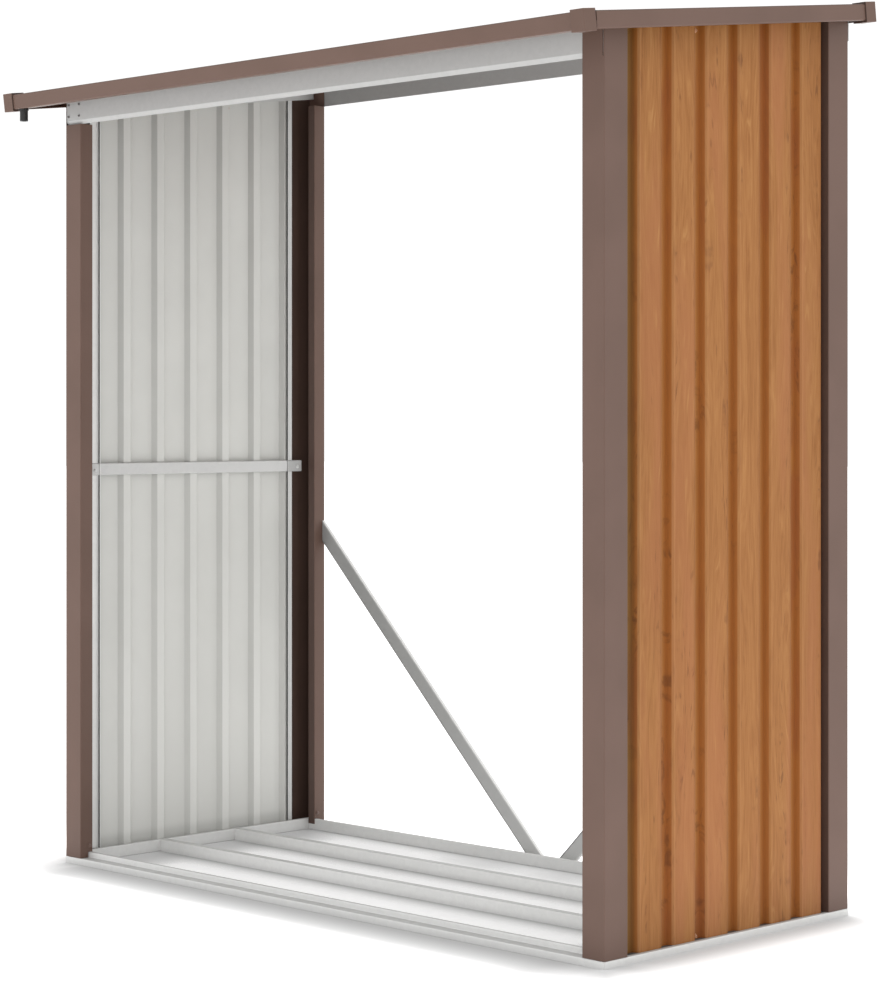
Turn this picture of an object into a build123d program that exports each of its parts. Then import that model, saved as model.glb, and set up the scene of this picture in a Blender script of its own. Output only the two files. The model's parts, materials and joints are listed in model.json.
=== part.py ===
from build123d import *
import math
import os

# Overall plan and height
store_length = 1676.0  # outer faces of the posts, left to right
store_depth = 762.5  # outer faces of the posts, front to back
eave_height = 1780.0  # top of the gutter's front edge above the ground
roof_rise_share = 0.125  # rise of the roof for its run
side_overhang = 62.0
front_overhang = 128.0
back_overhang = 2.5

# Folded sheet, and how the pieces meet
sheet = 1.5  # thickness of every folded piece
bend = 2.5  # outer radius of a fold
seat = 0.2  # gap between pieces that seat on each other
overrun = 60.0  # reach of a cut past the piece that it cuts

# Base rails, stepped: an outer lip, a ledge for walls and posts, an upright
base_lip = 15.0  # height of the outer lip and its ledge
base_height = 28.0
base_foot = 14.0  # flange turned under the rail, on the ground

# Floor slats, channels that stand open side down
slat_count = 2
slat_width = 20.0

# Corner posts, lipped sections folded from one strip
post_face = 57.0  # across the front or back of the store
post_side = 67.0  # along the side of the store
post_return = 35.0
post_lip = 22.0
post_open_lip = 6.0  # towards the wall, at the wall's plain end
post_slit = 2.0  # cut at the right front post's corner, beside the header

# Ribbed wall panels
panel_set = 9.0  # ridges' distance in from the posts' outer faces
rib_depth = 11.0
rib_pitch = 101.2
rib_crest = 63.0
rib_slope = 9.5  # run of a rib's slope
first_ridge = 143.5  # first ridge's middle behind the right wall's front post face
wall_gap = 12.0  # open slit between a post's lip and the wall's plain end

# Edge strips, angles at the ends of each wall
strip_flat = 26.0  # at a wall's ribbed end
plain_strip_flat = 18.0  # at a wall's plain end
strip_lip = 7.0
strip_inset = 78.5  # lip's distance from the post's outer face, at the ribbed end
plain_strip_inset = 98.5

# Mid rails and sloping top rails inside the walls
mid_rail_level = 901.0  # underside above the ground
mid_rail_height = 28.0
mid_rail_depth = 4.0
mid_rail_inset = 52.0
top_rail_height = 36.0
top_rail_flange = 22.0
top_rail_front_inset = 34.0
top_rail_back_inset = 14.0

# Headers
front_header_height = 65.0
back_header_height = 57.0
header_flange = 25.0
header_kick = 5.0  # drip edge's reach to the back
header_kick_height = 9.0

# Back braces
brace_width = 38.0
brace_depth = 8.0
brace_angle = 45.0
brace_foot_offset = 46.0  # foot's middle from the store's middle

# Roof edge
fascia_height = 34.0
fascia_flange = 25.0
fascia_lip = 10.0
back_fascia_lip = 4.5
gutter_depth = 36.0
gutter_hem = 6.0
gutter_inner_height = 15.0
roof_lap = 18.0  # roof panel's front edge behind the gutter's face

# Corner caps
cap_leg = 34.0
cap_wall = 3.0
cap_lid = 4.0
cap_round = 1.2

# Drain spout
spout_inset = 50.0  # from the roof's left edge
spout_set = 14.0  # behind the gutter's face
spout_radius = 9.3
spout_bore_radius = 6.5
spout_neck_radius = 8.5
spout_neck = 3.0  # reach into the gutter
spout_length = 29.0
collar_radius = 10.8
collar_height = 3.0

# Places worked out from the sizes above
half_length = store_length / 2
panel_inner = panel_set + rib_depth + sheet
base_ledge = panel_inner + bend  # walls and posts stand on it, clear of the upright's fold
base_width = post_return - sheet - seat  # the posts' lips hang just inside the uprights
strip_wall_face = panel_inner + seat
strip_face = strip_wall_face + sheet
rail_wall_face = strip_face + seat
rib_half = rib_crest / 2 + rib_slope
ribbed_end = store_depth - post_side - seat  # wall's far edge, beside a rib
wall_rib_count = int((ribbed_end - sheet - rib_half - first_ridge) / rib_pitch) + 1

roof_angle = math.degrees(math.atan(roof_rise_share))
cosine_share = math.cos(math.radians(roof_angle))
sine_share = math.sin(math.radians(roof_angle))
roof_depth = front_overhang + store_depth + back_overhang
roof_run = roof_depth / cosine_share
roof_half = half_length + side_overhang
roof_rib_count = round(roof_half / rib_pitch)  # ribs on each half of the roof
rib_top = sheet + seat  # ridges' depth below the fascia's top
roof_seat = rib_top + rib_depth + sheet + seat  # what carries the roof, below the fascia's top

# The caps reach furthest to the front and back, and the origin is midway between them
front_reach = cap_wall * cosine_share + cap_lid * sine_share
back_reach = (roof_run + cap_wall) * cosine_share + (fascia_height + cap_lid) * sine_share
roof_front = (front_reach - back_reach) / 2
post_front = roof_front + front_overhang
post_back = post_front + store_depth
post_middle = (post_front + post_back) / 2
roof_place = Location((0, roof_front, eave_height), (roof_angle, 0, 0))
side_mirror = Plane.YZ
depth_mirror = Plane(origin=(0, post_middle, 0), x_dir=(1, 0, 0), z_dir=(0, 1, 0))
run_mirror = Plane(origin=(0, roof_run / 2, 0), x_dir=(1, 0, 0), z_dir=(0, 1, 0))


def seat_height(y):
    """Height of what carries the roof, at a place along the depth."""
    return eave_height + (y - roof_front) * roof_rise_share - roof_seat / cosine_share


front_header_face = post_front + sheet + seat
front_header_bottom = seat_height(front_header_face) - front_header_height
back_header_face = post_back + seat + sheet
back_header_bottom = seat_height(back_header_face) - back_header_height


def folded(points, side=Side.RIGHT):
    """Section of a folded strip: its outer line, thickened to one side."""
    line = FilletPolyline(*points, radius=bend)
    return make_face(offset(line, amount=sheet, side=side))


def pressed(points):
    """Section of a sheet with crisp folds, thickened to the right of its outer line."""
    return make_face(offset(Polyline(*points), amount=sheet, side=Side.RIGHT, kind=Kind.INTERSECTION))


def block(low, high):
    """Box between two corners."""
    size = [b - a for a, b in zip(low, high)]
    middle = [(a + b) / 2 for a, b in zip(low, high)]
    return Pos(*middle) * Box(*size)


def along_x(section, low, high):
    """Section drawn in Y and Z, run along X."""
    return Pos(low, 0, 0) * extrude(Plane.YZ * section, amount=high - low)


def along_y(section, low, high):
    """Section drawn in X and Z, run along Y."""
    return Pos(0, low, 0) * extrude(Plane.XZ * section, amount=high - low, dir=(0, 1, 0))


def along_z(section, low, high):
    """Section drawn in X and Y, run upwards."""
    return Pos(0, 0, low) * extrude(section, amount=high - low)


def under_roof(piece, drop=0):
    """Cuts a piece off at the sloping seat of the roof, or lower by drop."""
    seat_plane = -roof_seat - drop
    reach = roof_half + overrun
    above = block((-reach, -overrun, seat_plane), (reach, roof_run + overrun, eave_height))
    return piece - roof_place * above


def other_side(piece):
    return mirror(piece, about=side_mirror)


def turned(piece):
    """Turns a wall's piece round to the wall across the store."""
    return Pos(0, post_middle * 2, 0) * Rot(0, 0, 180) * piece


def ribs(first, pitch, count, start, end):
    """Outline of ribbed sheet: place across the sheet, and depth below the ridges."""
    points = [(start, rib_depth)]
    for number in range(count):
        middle = first + number * pitch
        crest = rib_crest / 2
        points.append((middle - rib_half, rib_depth))
        points.append((middle - crest, 0))
        points.append((middle + crest, 0))
        points.append((middle + rib_half, rib_depth))
    points.append((end, rib_depth))
    return points


def base_rail(length):
    """Rail along X with its outer face on Y zero and mitred ends."""
    section = folded(
        [
            (0, 0),
            (0, base_lip),
            (base_ledge, base_lip),
            (base_ledge, base_height),
            (base_width, base_height),
            (base_width, 0),
            (base_width - base_foot, 0),
        ]
    )
    end = length / 2 - seat
    corners = [
        (-end, 0),
        (end, 0),
        (end - base_width, base_width),
        (base_width - end, base_width),
    ]
    plan = make_face(Polyline(*corners, close=True))
    return along_x(section, -end, end) & extrude(plan, amount=base_height)


def floor_slat(number):
    section = folded([(0, 0), (0, base_height), (slat_width, base_height), (slat_width, 0)])
    end = half_length - base_width - seat
    bay = (store_depth - 2 * base_width) / (slat_count + 1)
    middle = post_front + base_width + bay * (number + 1)
    return Pos(0, middle - slat_width / 2, 0) * along_x(section, -end, end)


def plain_post(wall_lip):
    """Left front post at full height, its return notched at the foot over the front rail's upright."""
    outline = [
        (post_face - post_lip, post_return),
        (post_face, post_return),
        (post_face, 0),
        (0, 0),
        (0, post_side),
        (wall_lip, post_side),
    ]
    points = [(across - half_length, post_front + deep) for across, deep in outline]
    post = along_z(folded(points), base_lip + seat, seat_height(post_back) + overrun)
    notch_low = (post_face - post_lip - half_length, post_front + base_ledge - bend - seat, 0)
    notch_high = (post_face + overrun - half_length, post_front + base_width + seat, base_height + seat)
    return post - block(notch_low, notch_high)


def header_notch(level, face_depth):
    """Cut above a level, inside the left front post's side, from a depth behind its face to its wall lip."""
    low = (sheet - half_length, post_front + face_depth, level - seat)
    high = (post_face + overrun - half_length, post_front + post_side - sheet - bend, eave_height * 2)
    return block(low, high)


def front_post_left():
    """Its face stops below the header, which shows above it."""
    return under_roof(plain_post(panel_inner) - header_notch(front_header_bottom, -overrun))


def front_post_right():
    """Its face runs up in front of the header, with a slit beside the corner."""
    post = plain_post(post_open_lip) - header_notch(front_header_bottom, sheet)
    slit_low = (bend - half_length, post_front - overrun, front_header_bottom)
    slit_high = (bend + post_slit - half_length, post_front + sheet + seat, eave_height * 2)
    return under_roof(other_side(post - block(slit_low, slit_high)))


def back_post(wall_lip):
    """Left back post; its face runs up in front of the header."""
    post = plain_post(wall_lip) - header_notch(back_header_bottom, sheet)
    return under_roof(mirror(post, about=depth_mirror))


def plain_wall():
    """Right wall panel at full height, standing on the base rail's ledge, its plain end to the front."""
    outline = ribs(first_ridge, rib_pitch, wall_rib_count, post_side + wall_gap, ribbed_end)
    points = [(half_length - panel_set - deep, post_front + across) for across, deep in outline]
    return along_z(folded(points, Side.LEFT), base_lip + seat, seat_height(post_back) + overrun)


def mid_rail():
    """Shallow channel on the left wall's edge strips, open towards the wall."""
    near = rail_wall_face - half_length
    far = near + mid_rail_depth
    top = mid_rail_level + mid_rail_height
    section = folded([(near, mid_rail_level), (far, mid_rail_level), (far, top), (near, top)], Side.LEFT)
    return along_y(section, post_front + mid_rail_inset, post_back - mid_rail_inset)


def edge_strip(inset, flat):
    """Angle at the left wall's front end, at full height, with a slot in its lip for the mid rail."""
    outline = [
        (strip_wall_face, inset - flat),
        (strip_wall_face, inset),
        (strip_wall_face + strip_lip, inset),
    ]
    points = [(across - half_length, post_front + deep) for across, deep in outline]
    strip = along_z(folded(points), base_height + seat, seat_height(post_back) + overrun)
    slot_low = (strip_face - half_length, post_front, mid_rail_level - seat)
    slot_far = rail_wall_face + mid_rail_depth + seat - half_length
    slot_high = (slot_far, post_front + inset + overrun, mid_rail_level + mid_rail_height + seat)
    return strip - block(slot_low, slot_high)


def ribbed_end_strip():
    return edge_strip(strip_inset, strip_flat)


def plain_end_strip():
    return mirror(edge_strip(plain_strip_inset, plain_strip_flat), about=depth_mirror)


def under_top_rail(piece):
    return under_roof(piece, top_rail_height + seat)


def top_rail():
    """Angle along the top of the left wall, under the roof."""
    near = rail_wall_face - half_length
    section = folded(
        [
            (near, -roof_seat - top_rail_height),
            (near, -roof_seat),
            (near + top_rail_flange, -roof_seat),
        ]
    )
    start = (front_overhang + top_rail_front_inset) / cosine_share
    end = (front_overhang + store_depth - top_rail_back_inset) / cosine_share
    return roof_place * along_y(section, start, end)


def front_header():
    """Channel whose lower edge turns back as a drip edge, behind the right front post's face."""
    top = seat_height(front_header_face)
    section = folded(
        [
            (front_header_face + header_kick, front_header_bottom),
            (front_header_face, front_header_bottom + header_kick_height),
            (front_header_face, top),
            (front_header_face + header_flange, top + header_flange * roof_rise_share),
        ]
    )
    end = half_length - sheet - seat
    return along_x(section, -end, end)


def back_header():
    """Angle that laps the back posts from behind, its flange between them."""
    top = seat_height(back_header_face)
    section = folded(
        [
            (back_header_face, back_header_bottom),
            (back_header_face, top),
            (back_header_face - header_flange, top - header_flange * roof_rise_share),
        ],
        Side.LEFT,
    )
    at_post_low = (half_length - post_face - seat, post_back - post_return - overrun, 0)
    at_post_high = (half_length + overrun, post_back + seat, eave_height * 2)
    at_post = block(at_post_low, at_post_high)
    return along_x(section, -half_length, half_length) - at_post - other_side(at_post)


def brace():
    """Left brace, a channel from the back rail's ledge to the left back post, flush with its back."""
    section = folded(
        [
            (brace_depth, -brace_width / 2),
            (0, -brace_width / 2),
            (0, brace_width / 2),
            (brace_depth, brace_width / 2),
        ]
    )
    face = post_back - brace_depth
    place = Pos(-brace_foot_offset, face, base_lip) * Rot(0, brace_angle, 0)
    bar = place * along_x(section, -store_length, store_length)
    low = (post_face + seat - half_length, face - overrun, base_lip + seat)
    high = (0, post_back, eave_height)
    return bar & block(low, high)


def roof_panel():
    """Right half of the roof, its ribs running down the slope."""
    start = seat / 2
    end = roof_half - sheet - seat
    pitch = (end - start) / roof_rib_count
    outline = ribs(start + pitch / 2, pitch, roof_rib_count, start, end)
    points = [(across, -rib_top - deep) for across, deep in outline]
    return along_y(pressed(points), roof_lap, roof_run - bend - seat)


def side_fascia():
    section = folded(
        [
            (roof_half - fascia_flange, 0),
            (roof_half, 0),
            (roof_half, -fascia_height),
            (roof_half - fascia_lip, -fascia_height),
        ]
    )
    return along_y(section, gutter_depth + seat, roof_run - fascia_flange - seat)


def back_fascia():
    section = folded(
        [
            (roof_run - fascia_flange, 0),
            (roof_run, 0),
            (roof_run, -fascia_height),
            (roof_run - back_fascia_lip, -fascia_height),
        ]
    )
    return along_x(section, -roof_half, roof_half)


spout_middle = Pos(spout_inset - roof_half, spout_set, -fascia_height)


def gutter():
    """Trough along the low edge of the roof, with a drain hole at its left end."""
    section = folded(
        [
            (gutter_hem, 0),
            (0, 0),
            (0, -fascia_height),
            (gutter_depth, -fascia_height),
            (gutter_depth, gutter_inner_height - fascia_height),
        ],
        Side.LEFT,
    )
    drain = spout_middle * Cylinder(spout_neck_radius + seat, overrun / 2)
    return along_x(section, -roof_half, roof_half) - drain


def stretch(radius, low, high):
    return Pos(0, 0, (low + high) / 2) * Cylinder(radius, high - low)


def spout():
    """Upright collar cut to the sloping gutter, a neck up through its floor and a tube straight down."""
    upright = Pos(*(roof_place * spout_middle).position)
    shoulder = seat + collar_height + collar_radius * roof_rise_share
    above = block((-roof_half, 0, -fascia_height - seat), (roof_half, roof_run, eave_height))
    collar = upright * stretch(collar_radius, -shoulder, collar_radius) - roof_place * above
    neck = spout_middle * stretch(spout_neck_radius, -seat - collar_height / 2, sheet + spout_neck)
    tube = upright * stretch(spout_radius, -spout_length, -shoulder + collar_height / 2)
    bore = upright * stretch(spout_bore_radius, -spout_length, overrun)
    return collar + roof_place * neck + tube - bore


def corner_cap():
    """Right front cap, a shell over the ends of gutter and fascia, open on its two inner sides."""
    outer_x = roof_half + cap_wall
    low = (outer_x - cap_leg, -cap_wall, -fascia_height - cap_lid)
    high = (outer_x, cap_leg - cap_wall, cap_lid)
    shell = block(low, high)
    rounded = shell.edges().filter_by_position(Axis.X, outer_x - seat, outer_x + seat)
    rounded += shell.edges().filter_by_position(Axis.Y, -cap_wall - seat, seat - cap_wall)
    shell = fillet(rounded, cap_round)
    inner_low = (low[0] - overrun, -seat, -fascia_height - seat)
    inner_high = (roof_half + seat, cap_leg + overrun, seat)
    return shell - block(inner_low, inner_high)


def on_roof(piece):
    return roof_place * piece


pieces = {
    "base_front_rail": Pos(0, post_front, 0) * base_rail(store_length),
    "base_back_rail": Pos(0, post_back, 0) * Rot(0, 0, 180) * base_rail(store_length),
    "base_left_rail": Pos(-half_length, post_middle, 0) * Rot(0, 0, -90) * base_rail(store_depth),
    "base_right_rail": Pos(half_length, post_middle, 0) * Rot(0, 0, 90) * base_rail(store_depth),
    "floor_slat_front": floor_slat(0),
    "floor_slat_back": floor_slat(1),
    "left_front_post": front_post_left(),
    "right_front_post": front_post_right(),
    "left_back_post": back_post(post_open_lip),
    "right_back_post": other_side(back_post(panel_inner)),
    "left_wall": under_roof(turned(plain_wall())),
    "right_wall": under_roof(plain_wall()),
    "left_front_edge_strip": under_top_rail(ribbed_end_strip()),
    "left_back_edge_strip": under_top_rail(plain_end_strip()),
    "right_front_edge_strip": under_top_rail(turned(plain_end_strip())),
    "right_back_edge_strip": under_top_rail(turned(ribbed_end_strip())),
    "left_mid_rail": mid_rail(),
    "right_mid_rail": other_side(mid_rail()),
    "left_top_rail": top_rail(),
    "right_top_rail": other_side(top_rail()),
    "front_header": front_header(),
    "back_header": back_header(),
    "left_brace": brace(),
    "right_brace": other_side(brace()),
    "left_roof_panel": on_roof(other_side(roof_panel())),
    "right_roof_panel": on_roof(roof_panel()),
    "front_gutter": on_roof(gutter()),
    "back_fascia": on_roof(back_fascia()),
    "left_fascia": on_roof(other_side(side_fascia())),
    "right_fascia": on_roof(side_fascia()),
    "left_front_cap": on_roof(other_side(corner_cap())),
    "right_front_cap": on_roof(corner_cap()),
    "left_back_cap": on_roof(mirror(other_side(corner_cap()), about=run_mirror)),
    "right_back_cap": on_roof(mirror(corner_cap(), about=run_mirror)),
    "drain_spout": spout(),
}

os.makedirs("parts", exist_ok=True)
for name, piece in pieces.items():
    export_step(piece, f"parts/{name}.step")
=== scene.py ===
import json
import math

import bpy
from mathutils import Matrix, Vector


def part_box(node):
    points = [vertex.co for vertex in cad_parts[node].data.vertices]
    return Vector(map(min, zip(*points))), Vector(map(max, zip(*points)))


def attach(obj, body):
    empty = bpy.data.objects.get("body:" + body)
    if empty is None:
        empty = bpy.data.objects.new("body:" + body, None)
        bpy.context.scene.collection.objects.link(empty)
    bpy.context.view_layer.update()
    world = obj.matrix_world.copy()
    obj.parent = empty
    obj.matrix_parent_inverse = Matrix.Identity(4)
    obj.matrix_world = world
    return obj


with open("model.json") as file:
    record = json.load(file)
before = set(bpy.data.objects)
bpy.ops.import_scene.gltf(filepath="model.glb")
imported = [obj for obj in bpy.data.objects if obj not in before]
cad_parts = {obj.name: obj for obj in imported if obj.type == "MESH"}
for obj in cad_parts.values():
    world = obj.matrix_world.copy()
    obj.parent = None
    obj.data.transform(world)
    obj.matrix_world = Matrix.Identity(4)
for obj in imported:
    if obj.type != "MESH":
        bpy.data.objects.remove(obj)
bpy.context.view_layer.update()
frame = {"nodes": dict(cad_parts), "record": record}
nodes = frame["nodes"]
print("frame loaded,", len(nodes), "nodes")


# Camera, at the photograph's place: level, with the horizon above the middle of the picture
cameraSet = {
    "place": (4.1012, -3.9926, 1.0391),
    "turn": 45.181,  # degrees
    "lens": 94.76,
    "rise": -0.0808,
    "farthest": 200,
}


def setCamera():
    bpy.ops.object.select_all(action="DESELECT")
    turn = (math.radians(90), 0, math.radians(cameraSet["turn"]))
    bpy.ops.object.camera_add(location=cameraSet["place"], rotation=turn)
    camera = bpy.context.object
    camera.data.lens = cameraSet["lens"]
    camera.data.shift_y = cameraSet["rise"]
    camera.data.clip_end = cameraSet["farthest"]
    bpy.context.scene.camera = camera
    print("camera set")


# White studio: even light all round, and a soft light from almost straight above
studio = {
    "level": 1.06,  # brightness of the white surround
    "topHeight": 6,
    "topPower": 2.3,
    "topTravel": (0.003, -0.004, -1),  # the way that the light falls
    "topSpread": 3.3,  # degrees
}


def setStudio():
    scene = bpy.context.scene
    scene.view_settings.view_transform = "Standard"
    world = bpy.data.worlds.new("studioWhite")
    world.use_nodes = True
    surround = world.node_tree.nodes["Background"]
    surround.inputs["Color"].default_value = (1, 1, 1, 1)
    surround.inputs["Strength"].default_value = studio["level"]
    scene.world = world

    bpy.ops.object.select_all(action="DESELECT")
    turn = Vector(studio["topTravel"]).to_track_quat("-Z", "Y").to_euler()
    bpy.ops.object.light_add(type="SUN", location=(0, 0, studio["topHeight"]), rotation=turn)
    top = bpy.context.object
    top.name = "topLight"
    top.data.energy = studio["topPower"]
    top.data.angle = math.radians(studio["topSpread"])

    bpy.ops.object.select_all(action="DESELECT")
    bpy.ops.mesh.primitive_plane_add(size=floorPaper["size"])
    floor = bpy.context.object
    floor.name = "studioFloor"
    floor.data.materials.append(floorMaterial())
    print("studio set")


# Shader maths: a socket that can be added, multiplied and so on, and that adds any other node
class Socket:
    def __init__(self, tree, link=None):
        self.tree = tree
        self.link = link

    def node(self, kind, settings=None, sockets=None, out=0):
        made = self.tree.nodes.new("ShaderNode" + kind)
        for name, value in (settings or {}).items():
            if name == "stops":
                setStops(made.color_ramp, value)
            else:
                setattr(made, name, value)
        for name, value in (sockets or {}).items():
            if isinstance(value, Socket):
                self.tree.links.new(value.link, made.inputs[name])
            else:
                made.inputs[name].default_value = value
        return Socket(self.tree, made.outputs[out])

    def maths(self, operation, *values):
        return self.node("Math", {"operation": operation}, dict(enumerate(values)))

    def __add__(self, other):
        return self.maths("ADD", self, other)

    def __sub__(self, other):
        return self.maths("SUBTRACT", self, other)

    def __rsub__(self, other):
        return self.maths("SUBTRACT", other, self)

    def __mul__(self, other):
        return self.maths("MULTIPLY", self, other)

    def __abs__(self):
        return self.maths("ABSOLUTE", self)

    __radd__ = __add__
    __rmul__ = __mul__


black = (0, 0, 0, 1)


def setStops(colorRamp, stops):
    while len(colorRamp.elements) < len(stops):
        colorRamp.elements.new(0.5)
    for element, (place, colour) in zip(colorRamp.elements, stops):
        element.position = place
        element.color = colour


def seen(colour, light):
    # base colour that looks like these screen values under this much light
    values = [channel / 255 for channel in colour]
    linear = [v / 12.92 if v < 0.04 else ((v + 0.055) / 1.055) ** 2.4 for v in values]
    return tuple(v / light for v in linear) + (1,)


def newMaterial(name):
    material = bpy.data.materials.new(name)
    material.use_nodes = True
    tree = material.node_tree
    return material, Socket(tree), tree.nodes["Principled BSDF"]


def feed(socket, shader, name):
    socket.tree.links.new(socket.link, shader.inputs[name])


def objectPlace(start):
    return start.node("TexCoord", out="Object")


def objectNormal(start):
    return start.node("TexCoord", out="Normal")


def parted(start, vector):
    return [start.node("SeparateXYZ", None, {0: vector}, out=axis) for axis in "XYZ"]


def joined(start, x, y, z):
    return start.node("CombineXYZ", None, {"X": x, "Y": y, "Z": z})


def noise(start, vector, scale, detail=2.0, rough=0.5, distortion=0.0):
    sockets = {"Vector": vector, "Scale": scale, "Detail": detail}
    sockets.update({"Roughness": rough, "Distortion": distortion})
    return start.node("TexNoise", None, sockets)


def mixed(start, factor, first, second, way="MIX"):
    settings = {"data_type": "RGBA", "blend_type": way}
    return start.node("Mix", settings, {0: factor, 6: first, 7: second}, out=2)


def between(value, low, high, fromValue=0.0, toValue=1.0):
    settings = {"interpolation_type": "SMOOTHSTEP"}
    sockets = {"Value": value, "From Min": low, "From Max": high, "To Min": fromValue, "To Max": toValue}
    return value.node("MapRange", settings, sockets)


def uneven(level, *swings):
    # a level that goes up and down with each noise
    for wave, spread in swings:
        level = level + spread * (wave - 0.5)
    return level


def bumped(height, shader, strength, distance):
    bump = height.node("Bump", None, {"Height": height, "Strength": strength, "Distance": distance})
    feed(bump, shader, "Normal")


# Floor paper: white, with painted shade along what stands on it, and a painted glow under and round the
# store
floorPaper = {
    "size": 80,
    "white": 0.97,
    "contactReach": 0.2,  # how far the painted shade along what touches the floor goes
    "contactSamples": 24,
    "contactPower": 0.35,
    "contactShade": 0.85,
    "edgeReach": (0.17, 0.3),  # softer shade before the front and right rails: its core and its tail
    "edgeShade": (0.49, 0.08),
    "edgeUnder": 0.02,  # how far in behind the posts' faces it starts
    "edgeEnds": (0.03, -0.08),  # where it fades at the left and at the back, from the posts
    "glow": 0.3,  # under the store and before it
    "glowRound": 0.8,  # and on the other sides
    "glowTurn": (-0.12, 0.02),  # where the one goes over into the other, from the posts
    "glowReach": (0.5, 0.25),  # where the glow ends and starts to fade, from the posts
}


def floorMaterial():
    material, start, shader = newMaterial("floorPaper")
    x, y = parted(start, objectPlace(start))[:2]
    low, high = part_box("left_front_post")[0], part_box("right_back_post")[1]
    middle, half = (low + high) / 2, (high - low) / 2
    offX = abs(x - middle.x) - half.x
    off = offX.maths("MAXIMUM", offX, abs(y - middle.y) - half.y)
    offNotFront = offX.maths("MAXIMUM", offX, y - high.y)

    # painted shade close to what stands on the floor, and a softer one before the front and right rails
    settings, sockets = {"samples": floorPaper["contactSamples"]}, {"Distance": floorPaper["contactReach"]}
    openness = start.node("AmbientOcclusion", settings, sockets, out="AO")
    near = openness.maths("POWER", 1 - openness, floorPaper["contactPower"]) * floorPaper["contactShade"]
    away = y.maths("MAXIMUM", low.y - y, x - high.x)
    coreReach, tailReach = floorPaper["edgeReach"]
    coreShade, tailShade = floorPaper["edgeShade"]
    edge = between(away, coreReach, 0, 0, coreShade) + between(away, tailReach, 0, 0, tailShade)
    edge = edge * between(away, -floorPaper["edgeUnder"], 0)
    for beyond in (low.x - x, y - high.y):
        edge = edge * between(beyond, *floorPaper["edgeEnds"])
    near = near.maths("MAXIMUM", near, edge)
    white = floorPaper["white"]
    feed(mixed(start, near, (white, white, white, 1), black), shader, "Base Color")

    # painted light: the floor glows under and round the store, lightening its shade there
    glow = between(offNotFront, *floorPaper["glowTurn"], floorPaper["glow"], floorPaper["glowRound"])
    glow = glow * (1 - near) * between(off, *floorPaper["glowReach"])
    feed(joined(start, glow, glow, glow), shader, "Emission Color")
    shader.inputs["Emission Strength"].default_value = 1
    shader.inputs["Roughness"].default_value = 1
    shader.inputs["Specular IOR Level"].default_value = 0
    return material


# Satin brown paint on the roof, the posts and the trim, and the caps' matching plastic
brownPaint = {
    "colour": (124, 98, 87),
    "deeper": (119, 94, 83),
    "light": 1.5,
    "cloudScale": 6,
    "cloudFrom": (0.35, 0.7),
    "roughness": 0.48,
    "roughSpread": (0.08, 0.06),  # with the orange peel, and with the clouds
    "gloss": 0.25,
    "peelScale": 420,
    "peelStrength": 0.25,
    "peelDepth": 0.0002,
}
# the posts, the trim and the caps get painted shade: the posts on their lips and in their hollows, the trim
# on its upper bend, the caps on their cut ends
postPaintWithShade = dict(
    brownPaint,
    lipShade=0.39,
    lipFrom=(0.03, 0.034),  # in from the posts' faces
    lipTurn=(0.7, 0.9),
    hollowShade=0.38,
    hollowFrom=(0.8, 0.81),  # out from the store's middle
    hollowTurn=(-0.5, -0.8),
)
trimPaintWithShade = dict(brownPaint, bendShade=0.5, bendFrom=(0.2, 0.45), bendTo=(0.97, 0.88))  # fascia and gutter
capPlasticWithShade = dict(
    brownPaint,
    colour=(122, 97, 86),
    deeper=(117, 92, 81),
    roughness=0.55,
    peelScale=900,
    peelDepth=0.0001,
    endShade=0.52,
    endTurn=(-0.3, -0.6),
)


def brownMaterial(name, settings):
    material, start, shader = newMaterial(name)
    place = objectPlace(start)
    x, y = parted(start, place)[:2]
    cloud = noise(start, place, settings["cloudScale"], 3)
    tint = between(cloud, *settings["cloudFrom"])
    light = settings["light"]
    colour = mixed(start, tint, seen(settings["colour"], light), seen(settings["deeper"], light))
    shade = brownShade(start, settings, x, y)
    if shade:
        colour = mixed(start, shade, colour, black)
    feed(colour, shader, "Base Color")
    peel = noise(start, place, settings["peelScale"], 2)
    peelSpread, cloudSpread = settings["roughSpread"]
    feed(uneven(settings["roughness"], (peel, peelSpread), (cloud, cloudSpread)), shader, "Roughness")
    shader.inputs["Specular IOR Level"].default_value = settings["gloss"]
    bumped(peel, shader, settings["peelStrength"], settings["peelDepth"])
    return material


def brownShade(start, settings, x, y):
    # painted shade on the posts' lips and in their hollows, on the trim's upper bend and on the caps' cut
    # ends
    nx, ny, nz = parted(start, objectNormal(start))
    front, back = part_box("left_front_post")[0].y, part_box("left_back_post")[1].y
    fromMiddle = y - (front + back) / 2
    outwardX = nx * x.maths("SIGN", x)
    outwardY = ny * y.maths("SIGN", fromMiddle)
    if "endShade" in settings:
        ends = between(outwardX, *settings["endTurn"]) + between(outwardY, *settings["endTurn"])
        return ends.maths("MINIMUM", ends, 1.0) * settings["endShade"]
    if "bendShade" in settings:
        return between(nz, *settings["bendFrom"]) * between(nz, *settings["bendTo"]) * settings["bendShade"]
    if "lipShade" in settings:
        inward = (back - front) / 2 - abs(fromMiddle)
        lips = between(inward, *settings["lipFrom"]) * between(abs(ny), *settings["lipTurn"])
        hollows = between(abs(x), *settings["hollowFrom"]) * between(outwardX, *settings["hollowTurn"])
        return lips * settings["lipShade"] + hollows * settings["hollowShade"]
    return None
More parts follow.
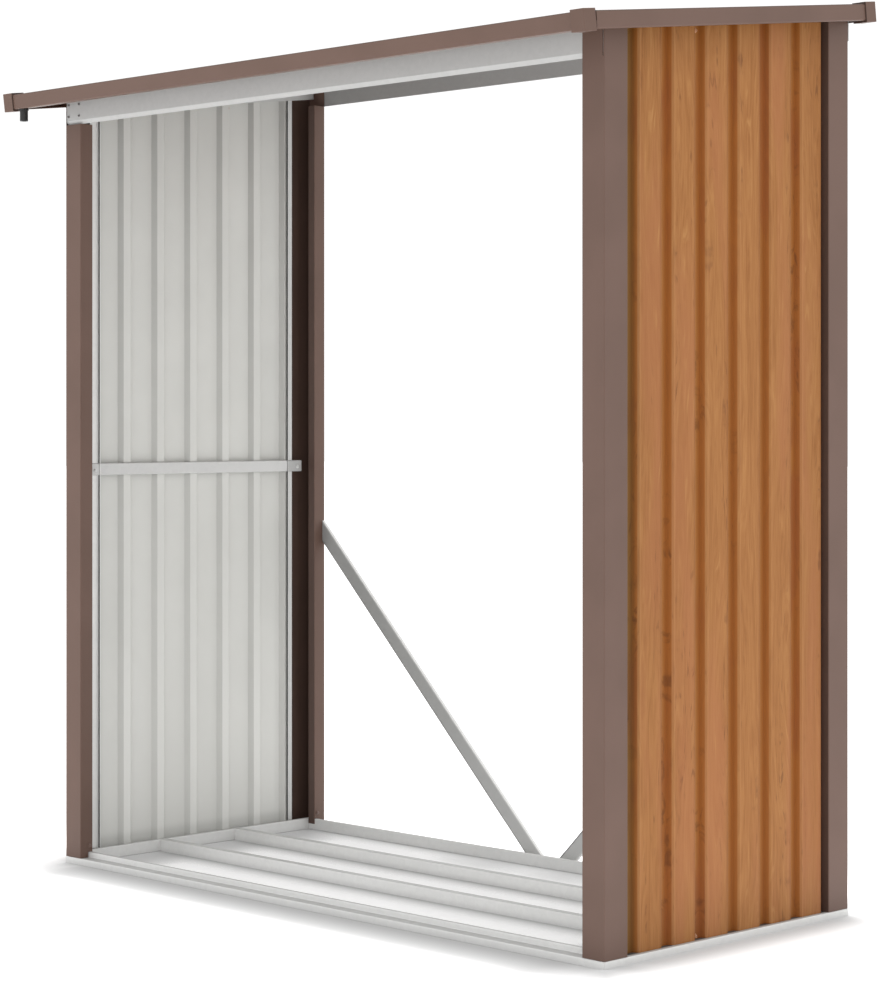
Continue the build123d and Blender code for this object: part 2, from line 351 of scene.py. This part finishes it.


# Galvanised folds: pale zinc with a faint spangle; each kind of piece has its own tone, which is painted
# light and shade: lighter or darker copies of one zinc for how much light each piece gets
zincFinish = {
    "tones": {
        "front_header": 0.455,
        "back_header": 0.33,
        "brace": 0.295,
        "strip": 0.8,
        "mid_rail": 0.52,
        "top_rail": 0.48,
        "floor_slat": 0.8,
        "base_back_rail": 0.66,
        "base": 0.73,
    },
    "spread": 0.02,  # how far the cloudiness goes from a tone
    "pale": 0.9,  # what the places with painted light go towards
    "blueShare": 0.985,
    "spangleScale": 110,
    "cloudScale": 3,
    "tintShares": (0.3, 0.7),  # of the spangle and of the clouds
    "tintFrom": (0.3, 0.75),
    "roughness": 0.5,
    "roughSpread": (0.08, 0.06),
    "metallic": 0.1,
    "bumpStrength": 0.04,
    "bumpDepth": 0.0002,
}
stripZinc = {
    "lip": 0.06,  # painted shade: the strips' lips are made nearly black, as they stand in the dark
    "lipTurn": (0.6, 0.9),
    "backShade": 0.27,  # painted shade: how much darker the back strips are, and the mid rails' ends behind them
    "backSoft": 0.005,
}
headerZinc = {"lift": 0.16, "run": (-0.6, 0.8)}  # painted light: the back header is paler towards its right end
baseZinc = {
    "level": (0.6, 0.9),
    "treadShade": 0.3,  # painted shade: the narrow level faces are darker
    "footShade": 0.08,  # and painted shade on what stands on the floor
    "footHeight": 0.014,
    "ledgeShade": 0.8,  # painted shade on the ledge in the hollows under the walls' ribs
    "ledgeSoft": 0.002,
}
braceZinc = {
    "top": 0.76,
    "lift": 0.36,  # painted light: how much paler the braces are at their feet
    # painted light on the upper flange
    "flangeLift": 0.5,
    "flangeTurn": (0.3, 0.6),
    "edge": 0.006,  # width of the painted shade along their left edge, and of the painted highlight along the other
    "edgeSoft": 0.001,
    "edgeShade": (0.42, 0.4),  # at the top, and more towards the foot
    "edgeLift": 0.3,
}


def grey(value):
    return (value, value, value * zincFinish["blueShare"], 1)


def zincMaterial(kind):
    material, start, shader = newMaterial("zinc_" + kind)
    place = objectPlace(start)
    axes = parted(start, place)
    normal = parted(start, objectNormal(start))
    cells = {"Vector": place, "Scale": zincFinish["spangleScale"]}
    spangle = start.node("TexVoronoi", {"feature": "F1"}, cells, out="Color")
    grain = start.node("SeparateColor", None, {0: spangle}, out=0)
    cloud = noise(start, place, zincFinish["cloudScale"], 2)
    grainShare, cloudShare = zincFinish["tintShares"]
    tint = between(grain * grainShare + cloud * cloudShare, *zincFinish["tintFrom"])
    tone, spread = zincFinish["tones"][kind], zincFinish["spread"]
    colour = mixed(start, tint, grey(tone * (1 + spread)), grey(tone * (1 - spread)))
    for factor, towards in zincShades(kind, axes, normal):
        colour = mixed(start, factor, colour, towards)
    feed(colour, shader, "Base Color")
    grainSpread, cloudSpread = zincFinish["roughSpread"]
    feed(uneven(zincFinish["roughness"], (grain, grainSpread), (cloud, cloudSpread)), shader, "Roughness")
    shader.inputs["Metallic"].default_value = zincFinish["metallic"]
    bumped(grain, shader, zincFinish["bumpStrength"], zincFinish["bumpDepth"])
    return material


def zincShades(kind, axes, normal):
    # painted light and shade on one kind of piece: what it is mixed with, and how much, one after the other
    x, y, z = axes
    nx, ny, nz = normal
    shades = []
    if kind == "strip":
        shades.append((between(abs(ny), *stripZinc["lipTurn"]), grey(stripZinc["lip"])))
    if kind in ("strip", "mid_rail"):
        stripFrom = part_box("left_back_edge_strip")[0].y
        behind = between(y, stripFrom - stripZinc["backSoft"], stripFrom, 0, stripZinc["backShade"])
        shades.append((behind, black))
    if kind == "back_header":
        shades.append((between(x, *headerZinc["run"], 0, headerZinc["lift"]), grey(zincFinish["pale"])))
    if kind in ("floor_slat", "base"):
        shades.append((between(nz, *baseZinc["level"], 0, baseZinc["treadShade"]), black))
        shades.append((between(z, baseZinc["footHeight"], 0, 0, baseZinc["footShade"]), black))
    if kind == "base":
        wallLow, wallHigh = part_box("right_wall")
        soft = baseZinc["ledgeSoft"]
        ledge = between(abs(x), wallLow.x - soft, wallLow.x) * between(abs(x), wallHigh.x, wallHigh.x - soft)
        shades.append((ledge * between(nz, *baseZinc["level"], 0, baseZinc["ledgeShade"]), black))
    if kind == "brace":
        shades.extend(braceShades(x, z, nx))
    return shades


def braceShades(x, z, nx):
    pale = grey(zincFinish["pale"])
    down = 1 - z * (1 / braceZinc["top"])
    fromEdge, width = fromBraceEdge(x, z)
    edge, soft = braceZinc["edge"], braceZinc["edgeSoft"]
    shadeTop, shadeMore = braceZinc["edgeShade"]
    # painted light towards the feet and on the upper flange, painted shade along the left edge, a painted
    # highlight along the other
    return [
        (down * down * braceZinc["lift"], pale),
        (between(nx, *braceZinc["flangeTurn"], 0, braceZinc["flangeLift"]), pale),
        (between(fromEdge, edge, soft) * (down * shadeMore + shadeTop), black),
        (between(fromEdge, width - edge, width - soft, 0, braceZinc["edgeLift"]), pale),
    ]


def fromBraceEdge(x, z):
    # distance from a brace's left edge: the lower one on the left brace, the upper one on the right
    slant = math.sqrt(0.5)
    corners = [vertex.co for vertex in nodes["left_brace"].data.vertices]
    across = [(corner.z - abs(corner.x)) * slant for corner in corners]
    width = max(across) - min(across)
    middle = (max(across) + min(across)) / 2
    side = x.maths("SIGN", x)
    return width / 2 - ((z - abs(x)) * slant - middle) * side, width


# Wall sheet: wood print outside, pale zinc inside
wallSheet = {
    "pitch": 0.1012,
    "firstRidge": 0.1435,  # first ridge's middle, from the posts' face at the plain end
    "crestHalf": 0.0315,
    "sideSoft": 0.05,
    "roughness": 0.5,
    "roughSpread": 0.1,
    "gloss": 0.15,
    "bumpStrength": 0.12,
    "bumpDepth": 0.0004,
}

# Grain of the wood print: noises, stretched along x, y and z, some of them swaying with the drift
woodGrain = {
    "drift": {"stretch": (3, 14, 1.6), "detail": 2},
    "fibre": {"stretch": (0, 310, 14), "sway": 24, "detail": 3, "rough": 0.6},
    "bands": {"stretch": (0, 75, 3.2), "sway": 16, "detail": 4, "rough": 0.55, "distortion": 0.4},
    "broad": {"stretch": (2, 11, 1.6), "detail": 2},
    "columns": {"stretch": (1, 24, 1.6), "detail": 2},
    "flames": {"stretch": (0, 170, 11), "sway": 34, "detail": 2},
    "flecks": {"stretch": (0, 200, 25), "sway": 34, "detail": 2},
    "reds": {"stretch": (2, 9, 4), "detail": 3},
    "knots": {"stretch": (2, 60, 26), "sway": 9, "detail": 3, "rough": 0.6, "distortion": 0.6},
    "knotty": {"stretch": (2, 8, 2.4), "detail": 2},
}

# Colours of the print, with some painted light and shade on the ribs and by the posts, and where each shows:
# from one value to another, at most how strongly
woodPrintLightAndShade = {
    "light": 1.47,
    "shares": (0.45, 0.45, 0.1),  # of bands, fibre and broad patches in the tone
    "tones": [(0.34, (161, 102, 50)), (0.5, (180, 121, 67)), (0.66, (195, 137, 80))],
    "rosy": (183, 117, 74),
    "rosyFrom": (0.47, 0.66, 0, 0.55),
    "flame": (208, 152, 92),
    "flameFrom": (0.55, 0.72, 0, 0.5),
    "flameColumns": (0.52, 0.36),
    "fleck": (120, 72, 38),
    "fleckFrom": (0.55, 0.73, 0, 0.62),
    "fleckColumns": (0.47, 0.62),
    "middle": 0.39,  # of the sheet: painted shade makes it a little darker towards both posts
    "sideShade": (0.1, 0.28, 0, 0.06),
    # shares of a rib, from the end of its ridge
    "ridgeFrom": (0.335, 0.354),
    # painted highlight along one edge of each ridge
    "ridgeEdge": (204, 148, 96),
    "ridgeEdgeFrom": (0.43, 0.38, 0, 0.3),
    # painted shade where each ridge ends
    "ridgeFall": (150, 93, 48),
    "ridgeFallFrom": (0.93, 1.0, 0, 0.5),
    # valleys: darker partly by print and partly by painted shade
    "valley": [
        (0.12, (184, 125, 70)),
        (0.175, (171, 107, 47)),
        (0.225, (161, 95, 34)),
        (0.265, (154, 87, 27)),
        (0.3, (164, 95, 32)),
        (0.335, (172, 103, 42)),
    ],
    "valleyRed": (148, 76, 34),
    "valleyRedFrom": (0.5, 0.66, 0, 0.45),
    "valleyFibre": (0.3, 0.7, 0.1, 0),
    "knot": (106, 57, 20),
    "knotFrom": (0.52, 0.7, 0, 0.62),
    "knottyFrom": (0.47, 0.6),
    "besidePost": (0.58, 0.72, 0.72, 1),  # shade of the first valley
    "besidePostFrom": (0.1095, 0.1),
}

# Pale side, with painted light towards its foot and painted shade at its top, at its plain end, just above
# the base and on its slopes; heights and places along the sheet in metres
palePaint = {
    "light": 1.01,
    "colour": (205, 205, 201),
    "deeper": (201, 201, 197),
    "cloudScale": 7,
    "cloudFrom": (0.3, 0.7),
    "foot": (224, 224, 220),  # painted light towards the sheet's foot
    "footFrom": (0.75, 0.1),
    "footShares": (0.5, 0.3),  # everywhere, and more on the narrow flats that stand forward
    "flatFrom": (0.085, 0.1),  # those flats, in shares of a rib
    "flatTo": (0.295, 0.28),
    "topShade": (1.5, 1.8, 0, 0.07),
    "endShade": (0.26, 0.12, 0, 0.05),  # at the plain end
    "endShadeUp": (0.4, 1.0),
    "railShade": (0.062, 0.04, 0, 0.12),  # just above the base
    "slopeTurn": (-0.35, -0.6),
    "slopeShade": (0.09, 0.1),  # at the foot, and more for each metre up
}


def wallMaterial():
    material, start, shader = newMaterial("wallSheet")
    place = objectPlace(start)
    axes = parted(start, place)
    x, y, z = axes
    nx, ny = parted(start, objectNormal(start))[:2]
    outside = between(nx * x, -wallSheet["sideSoft"], wallSheet["sideSoft"])

    # place along the sheet from its plain end, and along one rib from the end of its ridge
    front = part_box("right_front_post")[0].y
    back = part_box("left_back_post")[1].y
    along = (y - (front + back) / 2) * x.maths("SIGN", x) + (back - front) / 2
    ribEnd = wallSheet["firstRidge"] + wallSheet["crestHalf"]
    rib = along.maths("FRACT", (along - ribEnd) * (1 / wallSheet["pitch"]))

    drift = woodNoise(start, axes, "drift") - 0.5
    fibre = woodNoise(start, axes, "fibre", drift)
    ridges = ridgePrintLightAndShade(start, axes, along, rib, drift, fibre)
    valleys = valleyPrintAndShade(start, axes, rib, drift, fibre)
    wood = mixed(start, between(rib, *woodPrintLightAndShade["ridgeFrom"]), valleys, ridges)
    shadedWood = mixed(start, 1.0, wood, woodPrintLightAndShade["besidePost"], "MULTIPLY")
    wood = mixed(start, between(along, *woodPrintLightAndShade["besidePostFrom"]), wood, shadedWood)
    pale = paleSide(start, place, along, rib, z, ny)
    feed(mixed(start, outside, pale, wood), shader, "Base Color")
    feed(uneven(wallSheet["roughness"], (fibre, wallSheet["roughSpread"])), shader, "Roughness")
    shader.inputs["Specular IOR Level"].default_value = wallSheet["gloss"]
    bumped(fibre * outside, shader, wallSheet["bumpStrength"], wallSheet["bumpDepth"])
    return material


def woodNoise(start, axes, name, drift=None):
    settings = woodGrain[name]
    x, y, z = [axis * times for axis, times in zip(axes, settings["stretch"])]
    if drift:
        y = y + drift * settings["sway"]
    rough, distortion = settings.get("rough", 0.5), settings.get("distortion", 0.0)
    return noise(start, joined(start, x, y, z), 1, settings["detail"], rough, distortion)


def woodTone(colour):
    return seen(colour, woodPrintLightAndShade["light"])


def woodToneStops(name):
    return {"stops": [(at, woodTone(colour)) for at, colour in woodPrintLightAndShade[name]]}


def ridgePrintLightAndShade(start, axes, along, rib, drift, fibre):
    bands = woodNoise(start, axes, "bands", drift)
    broad = woodNoise(start, axes, "broad")
    bandShare, fibreShare, broadShare = woodPrintLightAndShade["shares"]
    tone = bands * bandShare + fibre * fibreShare + broad * broadShare
    wood = start.node("ValToRGB", woodToneStops("tones"), {0: tone})
    wood = mixed(start, between(broad, *woodPrintLightAndShade["rosyFrom"]), wood, woodTone(woodPrintLightAndShade["rosy"]))

    # narrow pale flames and dark flecks gather in some columns
    columns = woodNoise(start, axes, "columns")
    for kind in ("flame", "fleck"):
        marks = woodNoise(start, axes, kind + "s", drift)
        mask = between(marks, *woodPrintLightAndShade[kind + "From"]) * between(columns, *woodPrintLightAndShade[kind + "Columns"])
        wood = mixed(start, mask, wood, woodTone(woodPrintLightAndShade[kind]))
    # painted shade towards both posts, then a painted highlight along one edge of each ridge and painted
    # shade where it ends
    sides = between(abs(along - woodPrintLightAndShade["middle"]), *woodPrintLightAndShade["sideShade"])
    wood = mixed(start, sides, wood, black)
    for kind in ("ridgeEdge", "ridgeFall"):
        wood = mixed(start, between(rib, *woodPrintLightAndShade[kind + "From"]), wood, woodTone(woodPrintLightAndShade[kind]))
    return wood


def valleyPrintAndShade(start, axes, rib, drift, fibre):
    # the valleys are darker, partly printed and partly painted shade, with knots here and there
    reds = woodNoise(start, axes, "reds")
    knots = woodNoise(start, axes, "knots", drift)
    knotty = woodNoise(start, axes, "knotty")
    deep = start.node("ValToRGB", woodToneStops("valley"), {0: rib})
    deep = mixed(start, between(reds, *woodPrintLightAndShade["valleyRedFrom"]), deep, woodTone(woodPrintLightAndShade["valleyRed"]))
    mask = between(knots, *woodPrintLightAndShade["knotFrom"]) * between(knotty, *woodPrintLightAndShade["knottyFrom"])
    deep = mixed(start, mask, deep, woodTone(woodPrintLightAndShade["knot"]))
    return mixed(start, between(fibre, *woodPrintLightAndShade["valleyFibre"]), deep, black)


def paleSide(start, place, along, rib, z, ny):
    light = palePaint["light"]
    cloud = between(noise(start, place, palePaint["cloudScale"], 3), *palePaint["cloudFrom"])
    pale = mixed(start, cloud, seen(palePaint["colour"], light), seen(palePaint["deeper"], light))
    # painted light: paler towards the sheet's foot, more on the narrow flats that stand forward
    flats = between(rib, *palePaint["flatFrom"]) * between(rib, *palePaint["flatTo"])
    allShare, flatShare = palePaint["footShares"]
    paintedLight = between(z, *palePaint["footFrom"]) * (flats * flatShare + allShare)
    pale = mixed(start, paintedLight, pale, seen(palePaint["foot"], light))
    # painted shade at the top, at the plain end and just above the base, then on the slopes that face the
    # front, more higher up
    end = between(along, *palePaint["endShade"]) * between(z, *palePaint["endShadeUp"])
    paintedShade = between(z, *palePaint["topShade"]) + end + between(z, *palePaint["railShade"])
    pale = mixed(start, paintedShade, pale, black)
    shadeFoot, shadeRise = palePaint["slopeShade"]
    slopes = between(ny, *palePaint["slopeTurn"]) * (z * shadeRise + shadeFoot)
    return mixed(start, slopes, pale, black)


# Black spout
spoutPlastic = {
    "colour": (24, 24, 24),
    "light": 1.3,
    "roughness": 0.5,
    "roughSpread": 0.1,
    "grainScale": 900,
    "bumpStrength": 0.15,
    "bumpDepth": 0.0002,
}


def plasticMaterial():
    material, start, shader = newMaterial("blackPlastic")
    grain = noise(start, objectPlace(start), spoutPlastic["grainScale"], 2)
    shader.inputs["Base Color"].default_value = seen(spoutPlastic["colour"], spoutPlastic["light"])
    feed(uneven(spoutPlastic["roughness"], (grain, spoutPlastic["roughSpread"])), shader, "Roughness")
    bumped(grain, shader, spoutPlastic["bumpStrength"], spoutPlastic["bumpDepth"])
    return material


# Screw heads: dark bolts, painted, zinc and wood-coloured ones share one grainy finish
screwFinish = {
    "dark": {"colour": (134, 130, 129), "metallic": 0.3, "roughness": 0.45},
    "brown": {"colour": (124, 100, 90), "metallic": 0.0, "roughness": 0.4},
    "zinc": {"colour": (222, 222, 220), "metallic": 0.4, "roughness": 0.35},
    "wood": {"colour": (196, 142, 104), "metallic": 0.0, "roughness": 0.4},
}
screwGrain = {"light": 1.15, "scale": 700, "wornFrom": (0.4, 0.65), "worn": 0.85, "roughSpread": 0.15}


def screwMaterial(name, settings):
    material, start, shader = newMaterial(name)
    grain = noise(start, objectPlace(start), screwGrain["scale"], 2)
    plain = seen(settings["colour"], screwGrain["light"])
    worn = tuple(screwGrain["worn"] * channel for channel in plain[:3]) + (1,)
    feed(mixed(start, between(grain, *screwGrain["wornFrom"]), plain, worn), shader, "Base Color")
    feed(uneven(settings["roughness"], (grain, screwGrain["roughSpread"])), shader, "Roughness")
    shader.inputs["Metallic"].default_value = settings["metallic"]
    return material


def paintNodes():
    # by the last word of a node's name, by its slot, or as one kind of zinc piece
    finishes = {
        "brown_steel": brownMaterial("brownPaint", brownPaint),
        "post": brownMaterial("postPaintWithShade", postPaintWithShade),
        "fascia": brownMaterial("trimPaintWithShade", trimPaintWithShade),
        "brown_plastic": brownMaterial("capPlasticWithShade", capPlasticWithShade),
        "wood_print_steel": wallMaterial(),
        "black_plastic": plasticMaterial(),
    }
    zinc = {kind: zincMaterial(kind) for kind in zincFinish["tones"]}
    for part in frame["record"]["subparts"]:
        name, slot = part["node"], part["material_slot"]
        lastWord = name.split("_")[-1].replace("gutter", "fascia")
        if lastWord in finishes:
            finish = finishes[lastWord]
        elif slot in finishes:
            finish = finishes[slot]
        else:
            finish = next(zinc[kind] for kind in zinc if kind in name)
        nodes[name].data.materials.clear()
        nodes[name].data.materials.append(finish)
    print("finishes given to", len(nodes), "nodes")


# Screws: one head of each kind is modelled, then copied to its places
screwShape = {
    "upward": 0.9,  # least rise of an upper face's normal
    "nearTop": 0.0001,
    "bevelSteps": 2,
    "socketInset": 0.35,  # shares of the head's radius and height
    "socketDepth": 0.4,
    "smoothAngle": 35,
}


def pickUpperFaces(piece, above):
    bpy.context.tool_settings.mesh_select_mode = (False, False, True)
    bpy.ops.object.mode_set(mode="EDIT")
    bpy.ops.mesh.select_all(action="DESELECT")
    bpy.ops.object.mode_set(mode="OBJECT")
    for face in piece.data.polygons:
        face.select = face.normal.z > screwShape["upward"] and face.center.z > above
    bpy.ops.object.mode_set(mode="EDIT")


def screwHead(name, settings):
    # a head with a socket on its washer, standing on the origin and pointing up
    radius, height = settings["radius"], settings["height"]
    washer, thick = settings["washer"], settings["washerThick"]
    bpy.ops.object.select_all(action="DESELECT")
    bpy.ops.mesh.primitive_cylinder_add(
        vertices=settings["sides"], radius=washer, depth=thick, location=(0, 0, thick / 2)
    )
    head = bpy.context.object
    head.name = name
    bpy.ops.object.transform_apply(location=True, rotation=True, scale=True)
    pickUpperFaces(head, 0)
    bpy.ops.mesh.inset(thickness=washer - radius)
    bpy.ops.mesh.extrude_region_move(TRANSFORM_OT_translate={"value": (0, 0, height)})
    bpy.ops.mesh.bevel(offset=settings["round"], segments=screwShape["bevelSteps"], affect="EDGES")
    bpy.ops.object.mode_set(mode="OBJECT")
    top = max(vertex.co.z for vertex in head.data.vertices)
    pickUpperFaces(head, top - screwShape["nearTop"])
    bpy.ops.mesh.inset(thickness=radius * screwShape["socketInset"])
    down = -height * screwShape["socketDepth"]
    bpy.ops.mesh.extrude_region_move(TRANSFORM_OT_translate={"value": (0, 0, down)})
    bpy.ops.object.mode_set(mode="OBJECT")
    bpy.ops.object.shade_smooth_by_angle(angle=math.radians(screwShape["smoothAngle"]))
    return head


def setScrews(head, places, material):
    copies = []
    for point, way in places:
        copy = head.copy()
        copy.data = head.data.copy()
        bpy.context.collection.objects.link(copy)
        turn = Vector(way).to_track_quat("Z", "Y").to_matrix().to_4x4()
        copy.data.transform(Matrix.Translation(point) @ turn)
        copies.append(copy)
    name = head.name
    bpy.data.objects.remove(head)
    bpy.ops.object.select_all(action="DESELECT")
    for copy in copies:
        copy.select_set(True)
    bpy.context.view_layer.objects.active = copies[0]
    bpy.ops.object.join()
    screws = bpy.context.object
    screws.name = name
    screws.data.materials.clear()
    screws.data.materials.append(material)
    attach(screws, "root")
    print(name, len(places))


headerBolts = {
    "radius": 0.0024,
    "height": 0.0018,
    "washer": 0.0031,
    "washerThick": 0.0006,
    "round": 0.0005,
    "sides": 16,
    "across": (0.008, 0.047),  # from the header's end
    "up": (0.019, 0.046),  # from the front header's lower edge
    "backLower": 0.004,  # how much lower on the back header
    "faceBehindPost": 0.0017,
}


def headerBoltPlaces():
    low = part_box("front_header")[0]
    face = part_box("left_front_post")[0].y + headerBolts["faceBehindPost"]
    backLow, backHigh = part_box("back_header")
    places = []
    for across in headerBolts["across"]:
        for up in headerBolts["up"]:
            places.append(((low.x + across, face, low.z + up), (0, -1, 0)))
            backUp = backLow.z + up - headerBolts["backLower"]
            for end in (backLow.x + across, backHigh.x - across):
                places.append(((end, backHigh.y, backUp), (0, 1, 0)))
    return places


footScrews = {
    "radius": 0.004,
    "height": 0.0025,
    "washer": 0.005,
    "washerThick": 0.0006,
    "round": 0.0009,
    "sides": 14,
    "fromFace": 0.025,
    "up": 0.0425,
}


def footScrewPlaces():
    places = []
    for side, way in (("left", 1), ("right", -1)):
        for end in ("front", "back"):
            low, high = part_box(f"{side}_{end}_post")
            inner = high.x if way > 0 else low.x
            y = low.y + footScrews["fromFace"] if end == "front" else high.y - footScrews["fromFace"]
            places.append(((inner, y, footScrews["up"]), (way, 0, 0)))
    return places


railScrews = {
    "radius": 0.0035,
    "height": 0.0022,
    "washer": 0.005,
    "washerThick": 0.0006,
    "round": 0.0008,
    "sides": 14,
    "fromEnd": 0.013,
    "up": 0.012,  # from the rail's lower edge
}


def railScrewPlaces():
    places = []
    for side, way in (("left", 1), ("right", -1)):
        low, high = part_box(f"{side}_mid_rail")
        inner = high.x if way > 0 else low.x
        for y in (low.y + railScrews["fromEnd"], high.y - railScrews["fromEnd"]):
            places.append(((inner, y, low.z + railScrews["up"]), (way, 0, 0)))
    return places


wallScrews = {
    "radius": 0.0036,
    "height": 0.0035,
    "washer": 0.0055,
    "washerThick": 0.0008,
    "round": 0.0008,
    "sides": 14,
    "fromPost": 0.288,  # behind the post's face, at the sheet's plain end
    "valley": 0.818,  # distance of the outer valleys from the store's middle
    "up": (0.0205, 1.795),
}


def wallScrewPlaces():
    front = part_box("right_front_post")[0].y + wallScrews["fromPost"]
    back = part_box("left_back_post")[1].y - wallScrews["fromPost"]
    places = []
    for up in wallScrews["up"]:
        places.append(((wallScrews["valley"], front, up), (1, 0, 0)))
        places.append(((-wallScrews["valley"], back, up), (-1, 0, 0)))
    return places


roofScrews = {
    "radius": 0.004,
    "height": 0.004,
    "washer": 0.008,
    "washerThick": 0.0012,
    "round": 0.0008,
    "sides": 14,
    "slope": 0.125,
    "valleyDepth": 0.0127,  # below the roof's edge
    "ribs": 9,
    "everySecond": (2, 4, 6, 8),
    "lines": (0.143, 0.876),  # along the depth from the roof's front edge, over each header
}


def roofScrewPlaces():
    low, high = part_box("right_roof_panel")
    eaveLow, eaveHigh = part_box("front_gutter")
    lean = math.atan(roofScrews["slope"])
    outward = Vector((0, -math.sin(lean), math.cos(lean)))
    pitch = (high.x - low.x) / roofScrews["ribs"]
    places = []
    for along in roofScrews["lines"]:
        edge = Vector((0, eaveLow.y + along, eaveHigh.z + along * roofScrews["slope"]))
        seat = edge - outward * roofScrews["valleyDepth"]
        for number in roofScrews["everySecond"]:
            for side in (-1, 1):
                places.append((seat + Vector((side * (low.x + pitch * number), 0, 0)), outward))
    return places


def addScrews():
    kinds = [
        ("headerBolts", headerBolts, headerBoltPlaces, "dark", "brown_steel"),
        ("footScrews", footScrews, footScrewPlaces, "brown", "brown_steel"),
        ("railScrews", railScrews, railScrewPlaces, "zinc", "galvanised_steel"),
        ("wallScrews", wallScrews, wallScrewPlaces, "wood", "wood_print_steel"),
        ("roofScrews", roofScrews, roofScrewPlaces, "brown", "brown_steel"),
    ]
    made = {finish: screwMaterial(finish + "Screw", settings) for finish, settings in screwFinish.items()}
    for name, settings, places, finish, slot in kinds:
        setScrews(screwHead(name, settings), places(), made[finish])


setCamera()
setStudio()
paintNodes()
addScrews()
